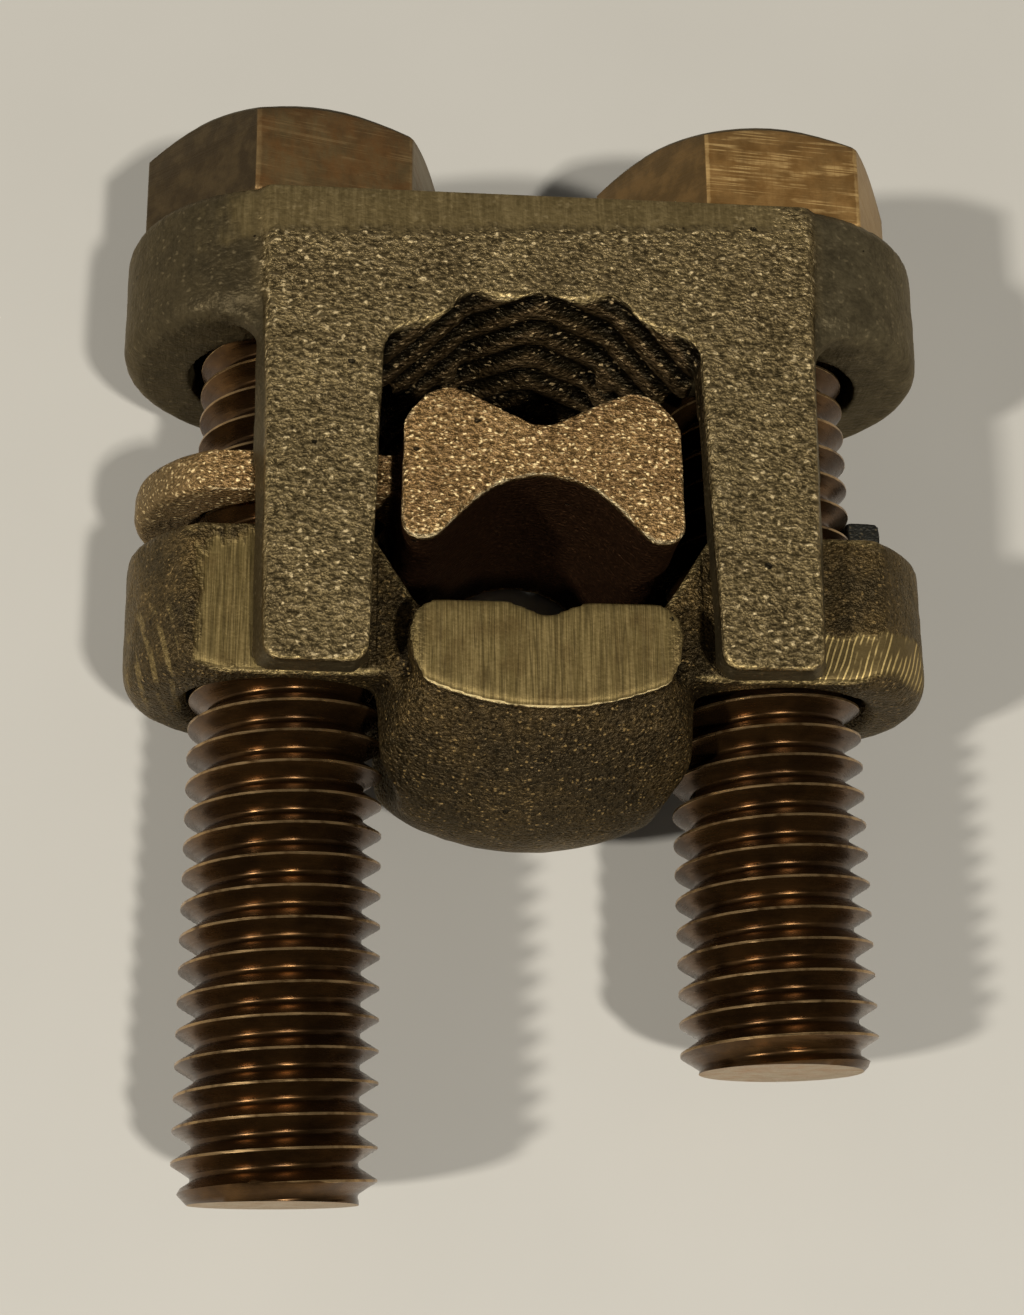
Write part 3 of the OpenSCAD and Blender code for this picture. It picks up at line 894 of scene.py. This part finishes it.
def head_shell(shape, height, turn):
    """A chamfered hexagon head with softened edges, open underneath round the neck."""
    outline = hexagon(HEAD_ACROSS_FLATS, HEAD_CORNER_RADIUS, turn)
    circle = CHAMFER_CIRCLE * HEAD_ACROSS_FLATS / 2
    inner = (HEAD_ACROSS_FLATS - 2 * HEAD_EDGE) / HEAD_ACROSS_FLATS
    rim = [height - max(0.0, point.length - circle) * CHAMFER_SLOPE for point in outline]

    def ring(scale, heights):
        return [shape.verts.new((*(point * scale), z)) for point, z in zip(outline, heights)]

    def level_ring(scale, z):
        return ring(scale, [z] * len(outline))

    def round_ring(radius, z):
        return [shape.verts.new((*(point.normalized() * radius), z)) for point in outline]

    middle_ring = round_ring(circle, height)
    small_ring = round_ring(circle / 2, height)
    rings = [small_ring, middle_ring,
             ring(inner, [z + HEAD_EDGE * HEAD_EDGE_LIFT for z in rim]),
             ring(1.0, [z - HEAD_EDGE for z in rim]),
             level_ring(1.0, height / 2),
             level_ring(1.0, 2 * HEAD_EDGE),
             level_ring(1.0, HEAD_EDGE),
             level_ring(inner, 0.0),
             round_ring(THREAD_RADIUS, 0.0),
             round_ring(THREAD_RADIUS, -NECK_LENGTH)]
    for upper, lower in zip(rings, rings[1:]):
        for index in range(len(outline)):
            after = (index + 1) % len(outline)
            shape.faces.new((upper[index], upper[after], lower[after], lower[index]))
    shape.faces.new(small_ring)


def bolt_edge_turn(shape):
    """The edge_turn of each point of a bolt: high on the thread's crests and on the head's edges."""
    corner_share = 0.99
    corner_reach = corner_share * (HEAD_ACROSS_FLATS / 2 - HEAD_CORNER_RADIUS) / math.cos(math.pi / 6)
    corner_reach += HEAD_CORNER_RADIUS
    off_bearing = 0.01
    edge_top = 1.5 * HEAD_EDGE
    turns = []
    for vert in shape.verts:
        reach = math.hypot(vert.co.x, vert.co.y)
        if vert.co.z > -NECK_LENGTH / 2:
            at_edge = reach > corner_reach or off_bearing < vert.co.z < edge_top
            turns.append(HEAD_EDGE_TURN if at_edge else HEAD_FLAT_TURN)
        else:
            depth = max(0.0, min(1.0, (THREAD_RADIUS - reach) / THREAD_DEPTH))
            turns.append(CREST_TURN if depth < CREST_DEPTH else FLANK_TURN - FLANK_FALL * depth)
    return turns


def choose_finishes(shape, length):
    """Gives each face of a bolt its finish: 0 for the thread, 1 for the head and 2 for the end."""
    end_height = -length + 0.05 * THREAD_PITCH
    flat_enough = 0.9
    for face in shape.faces:
        middle = face.calc_center_median()
        face.smooth = True
        at_end = middle.z < end_height and abs(face.normal.z) > flat_enough
        face.material_index = 1 if middle.z > 0 else (2 if at_end else 0)


def bolt(name, joint_name, turn, crest, materials):
    """A bolt with its real thread and head, in place of the CAD node of that name."""
    low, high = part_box(name)
    length = (BEARING_Y - low.y) / MM
    axis = Vector(JOINTS[joint_name]["pos_m"])
    shape = bmesh.new()
    thread_shell(shape, length, crest)
    bmesh.ops.contextual_create(shape, geom=rim_at(shape, -length))
    neck_rim = rim_at(shape, -NECK_LENGTH)
    head_shell(shape, (high.y - BEARING_Y) / MM, turn)
    neck_rim += [edge for edge in rim_at(shape, -NECK_LENGTH) if edge not in neck_rim]
    bmesh.ops.triangle_fill(shape, use_beauty=True, use_dissolve=False, edges=neck_rim)
    bmesh.ops.recalc_face_normals(shape, faces=shape.faces)
    turns = bolt_edge_turn(shape)
    choose_finishes(shape, length)
    mesh = bpy.data.meshes.new(name + "_threaded")
    shape.to_mesh(mesh)
    shape.free()
    lay = Matrix(((1, 0, 0, axis.x), (0, 0, 1, BEARING_Y), (0, -1, 0, axis.z), (0, 0, 0, 1)))
    mesh.transform(lay @ Matrix.Scale(MM, 4))
    mesh.set_sharp_from_angle(angle=SHARP_ANGLE)
    store_edge_turn(mesh, turns)
    piece = link_piece(name + "_threaded", mesh, materials)
    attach(piece, name)
    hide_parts(name)
    return piece


# Stage, light and camera

def lay_floor():
    """A plain pale table top under the connector."""
    mesh = bpy.data.meshes.new("table_top")
    half = TABLE_SIZE / 2
    corners = [(-half, -half, 0), (half, -half, 0), (half, half, 0), (-half, half, 0)]
    mesh.from_pydata(corners, [], [(0, 1, 2, 3)])
    material, tree, shader = new_material("table_top", 0.0, {"Roughness": 0.5})
    haze = cloud(tree, place_in_mm(tree), 30.0, 4.0, 0.5)
    colour = blend_colours(tree, haze, srgb(190, 185, 174), srgb(200, 195, 184))
    tree.links.new(colour, shader["Base Color"])
    link_piece("table_top", mesh, [material])


def hang_lamp(name, offset, power):
    """A square soft lamp at an offset from the middle of the connector, aimed at it."""
    middle = Vector((0, 0, FRONT_Z / 2))
    data = bpy.data.lights.new(name, "AREA")
    data.size = LAMP_SIZE
    data.energy = power
    data.color = LIGHT_COLOUR
    lamp = bpy.data.objects.new(name, data)
    bpy.context.scene.collection.objects.link(lamp)
    lamp.location = middle + offset
    lamp.rotation_euler = (middle - lamp.location).to_track_quat("-Z", "Y").to_euler()


def light_studio():
    """Two soft lamps, one well to the left and one a little to the right, in a pale-walled room."""
    hang_lamp("left_lamp", offset=Vector((-0.67, -0.26, 0.8)), power=7.2)
    hang_lamp("right_lamp", offset=Vector((0.25, -0.39, 0.9)), power=6.2)
    world = bpy.data.worlds.new("room")
    world.use_nodes = True
    tree = world.node_tree
    tree.nodes.clear()
    upward = parts_of(tree, add_node(tree, "TexCoord").outputs["Generated"])[2]
    strength = rise(tree, upward, 0.1, 0.7, HORIZON_LIGHT, OVERHEAD_LIGHT)
    room = add_node(tree, "Background", {"Color": (*LIGHT_COLOUR, 1.0), "Strength": strength})
    add_node(tree, "OutputWorld", {"Surface": room.outputs[0]})
    bpy.context.scene.world = world


def set_camera():
    """The photograph's own viewpoint."""
    data = bpy.data.cameras.new("camera")
    data.lens = CAMERA_LENS
    data.clip_start = CAMERA_NEAR
    camera = bpy.data.objects.new("camera", data)
    bpy.context.scene.collection.objects.link(camera)
    ahead = (CAMERA_TARGET - CAMERA_PLACE).normalized()
    right = ahead.cross(Vector((0, 1, 0))).normalized()
    up = right.cross(ahead)
    aim = Matrix((right, up, -ahead)).transposed().to_4x4()
    roll = Matrix.Rotation(CAMERA_ROLL, 4, "Z")
    camera.matrix_world = Matrix.Translation(CAMERA_PLACE) @ aim @ roll
    bpy.context.scene.camera = camera


def build_castings():
    """The cap, the jaw and the spacer."""
    casting("cap", voxel=0.3, rounds=4, ground=cap_ground, melted=nowhere,
            material=cast_bronze(), body="cap")
    casting("jaw", voxel=0.28, rounds=4, ground=jaw_ground, melted=jaw_melted,
            material=jaw_bronze(), body="jaw")
    casting("spacer", voxel=0.22, rounds=3, ground=nowhere, melted=nowhere,
            material=spacer_bronze(), body="spacer")


def build_bolts():
    """The longer bolt on the left and the shorter one on the right, each with its own head."""
    thread = thread_bronze()
    end = end_bronze()
    # side paints the shade on each head's left faces; floor_reflection paints the pale floor's reflection
    # on its right faces
    left_head = head_bronze("left_head_bronze", clean=srgb(106, 87, 56), stain=srgb(107, 76, 43),
                            side=srgb(54, 42, 26), floor_reflection=srgb(120, 110, 92), bright=srgb(150, 122, 80),
                            scratches=0.4)
    right_head = head_bronze("right_head_bronze", clean=srgb(150, 114, 66), stain=srgb(122, 88, 46),
                             side=srgb(88, 67, 38), floor_reflection=srgb(160, 132, 92), bright=srgb(216, 178, 116),
                             scratches=0.6)
    bolt("left_bolt", "left_bolt_turn", turn=math.radians(15.7), crest=-41.06,
         materials=[thread, left_head, end])
    bolt("right_bolt", "right_bolt_turn", turn=math.radians(5.3), crest=-53.8,
         materials=[thread, right_head, end])


def build():
    """Everything in the picture."""
    set_camera()
    lay_floor()
    light_studio()
    build_castings()
    build_bolts()
    bpy.context.scene.view_settings.view_transform = "Standard"


build()
